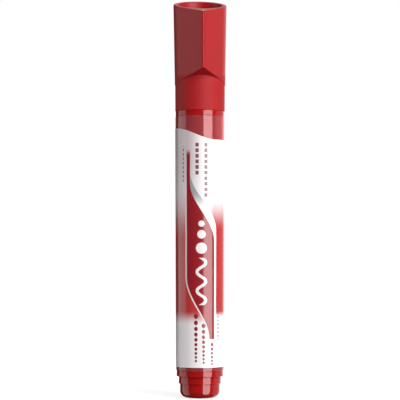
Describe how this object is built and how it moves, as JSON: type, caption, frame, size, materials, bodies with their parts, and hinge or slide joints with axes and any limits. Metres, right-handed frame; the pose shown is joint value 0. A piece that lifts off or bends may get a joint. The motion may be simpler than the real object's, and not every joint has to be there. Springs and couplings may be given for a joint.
{
  "type": "whiteboard marker",
  "caption": "Liquid-ink whiteboard marker with a clear labelled barrel, stepped rear plug, bullet nib and a pull-off cap with a thumb keel.",
  "frame": {"origin": "centre of the flat end of the rear plug, which is the face that the marker stands on", "axes": "+Z along the marker, from the rear plug to the top of the cap; the thumb keel of the cap points along -Y"},
  "size_m": [0.0184, 0.0234, 0.138],
  "materials": {
    "clear_barrel": "clear moulded polypropylene, lightly tinted by the ink",
    "label_film": "printed gloss film in red, white and silver",
    "red_plug": "polished red moulding",
    "ink": "liquid red ink",
    "wick_fibre": "bundled polyester fibre soaked in ink",
    "regulator_plastic": "natural moulded plastic stained by ink",
    "seal_rubber": "black rubber",
    "red_section": "polished red moulding",
    "nib_fibre": "ground fibre soaked in ink",
    "red_cap": "satin red moulding",
    "cup_plastic": "natural soft moulded plastic"
  },
  "bodies": {
    "pen": {"barrel_tube": "clear_barrel", "label_film": "label_film", "rear_plug": "red_plug", "ink_charge": "ink", "feed_wick": "wick_fibre", "ink_regulator": "regulator_plastic", "regulator_seal": "seal_rubber", "front_section": "red_section", "section_seal": "seal_rubber", "nib": "nib_fibre"},
    "cap": {"cap_shell": "red_cap", "cap_inner_seal": "cup_plastic"}
  },
  "joints": [
    {"name": "cap_slide", "type": "slide", "parent": "pen", "child": "cap", "axis": [0, 0, 1], "range_m": [0, 0.04]}
  ]
}
